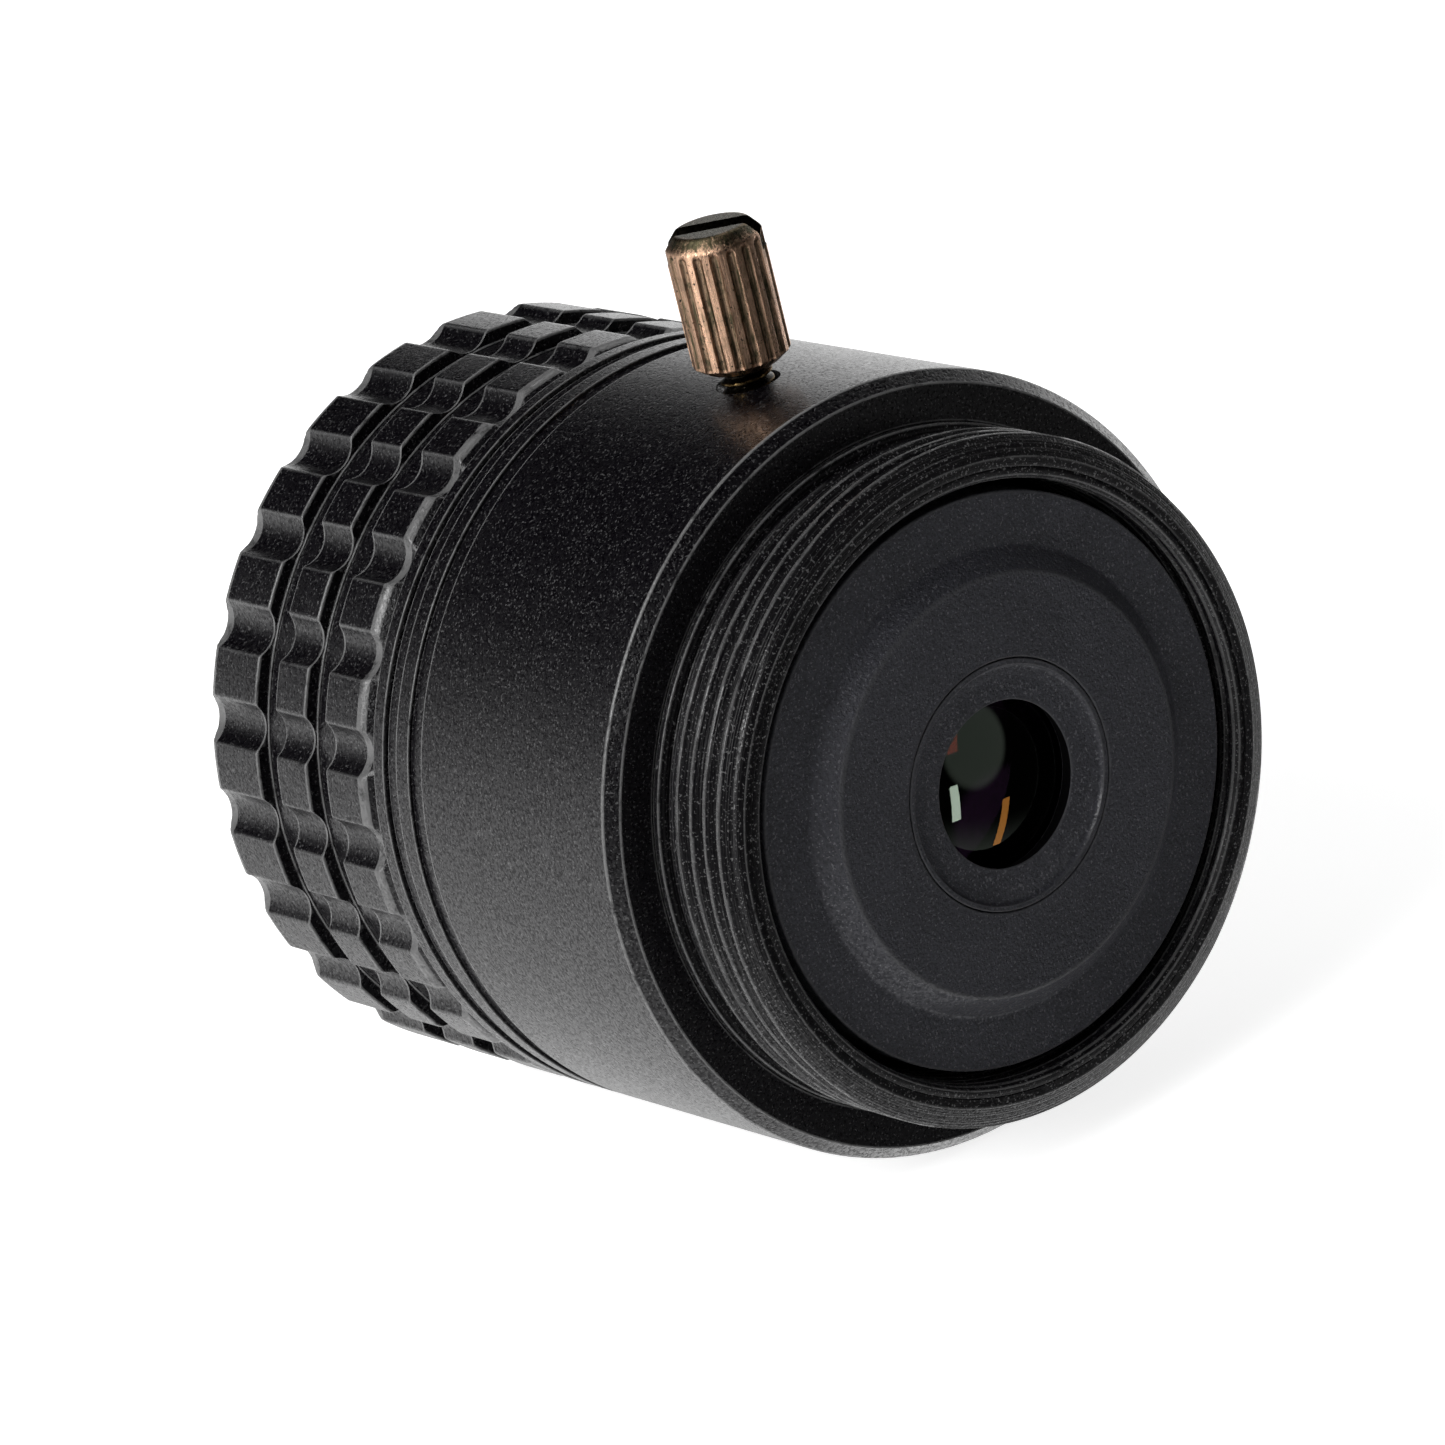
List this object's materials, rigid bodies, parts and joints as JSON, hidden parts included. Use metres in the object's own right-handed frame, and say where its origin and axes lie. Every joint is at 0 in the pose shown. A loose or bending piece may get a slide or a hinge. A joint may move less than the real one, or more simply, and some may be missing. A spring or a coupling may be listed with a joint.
{
  "type": "threaded focusing eyepiece lens",
  "caption": "Short black focusing lens unit: plain barrel with a scalloped grip ring, threaded rear mount, small recessed window in a conical boss, and a fluted brass lock screw.",
  "frame": {"origin": "centre of the flat seat behind the mount thread, on the optical axis", "axes": "-Y out of the threaded rear end along the optical axis, +Y out of the front, +Z through the lock screw"},
  "size_m": [0.0292, 0.0301, 0.0353],
  "materials": {
    "black_anodised": "satin black anodising over a fine blasted grain, bright worn edges",
    "matt_black": "matt charcoal-black anodising",
    "dark_steel": "blackened steel",
    "brass": "worn, slightly coppery brass",
    "coated_glass": "polished and coated, with purple and green reflections",
    "white_nylon": "plain moulded nylon"
  },
  "bodies": {
    "barrel": {"main_barrel": "black_anodised", "mount_ring": "black_anodised", "mount_grub_screws": "dark_steel", "friction_washer": "brass", "nose_retaining_ring": "matt_black"},
    "focus_ring": {"focus_grip": "black_anodised", "helicoid_sleeve": "brass", "ring_grub_screws": "dark_steel", "stop_pin": "dark_steel", "front_trim_ring": "matt_black"},
    "lens_cell": {"focus_carrier": "matt_black", "guide_pin": "dark_steel", "rear_plate": "matt_black", "rear_retaining_ring": "matt_black", "rear_lens": "coated_glass", "rear_spacer": "matt_black", "field_lens": "coated_glass", "inner_retaining_ring": "matt_black", "aperture_stop": "matt_black", "stop_spacer": "matt_black", "doublet_flint": "coated_glass", "doublet_crown": "coated_glass", "front_spacer": "matt_black", "front_lens": "coated_glass", "front_retaining_ring": "matt_black"},
    "lock_pad_body": {"lock_pad": "white_nylon"},
    "lock_screw_body": {"lock_screw": "brass"}
  },
  "joints": [
    {"name": "focus_turn", "type": "hinge", "parent": "barrel", "child": "focus_ring", "pos_m": [0, 0, 0], "axis": [0, 1, 0], "range_deg": [-90.2, 240.2]},
    {"name": "cell_slide", "type": "slide", "parent": "barrel", "child": "lens_cell", "axis": [0, 1, 0], "range_m": [-0.0006, 0.0016]},
    {"name": "lock_lift", "type": "slide", "parent": "barrel", "child": "lock_pad_body", "axis": [0, 0, 1], "range_m": [0, 0.0012]},
    {"name": "lock_turn", "type": "hinge", "parent": "lock_pad_body", "child": "lock_screw_body", "pos_m": [0, 0.00547, 0], "axis": [0, 0, 1], "range_deg": [0, 1081]}
  ],
  "couplings": [
    {"joint": "focus_turn", "follows": "cell_slide", "rad_per_m": 2618},
    {"joint": "lock_turn", "follows": "lock_lift", "rad_per_m": 15708}
  ]
}
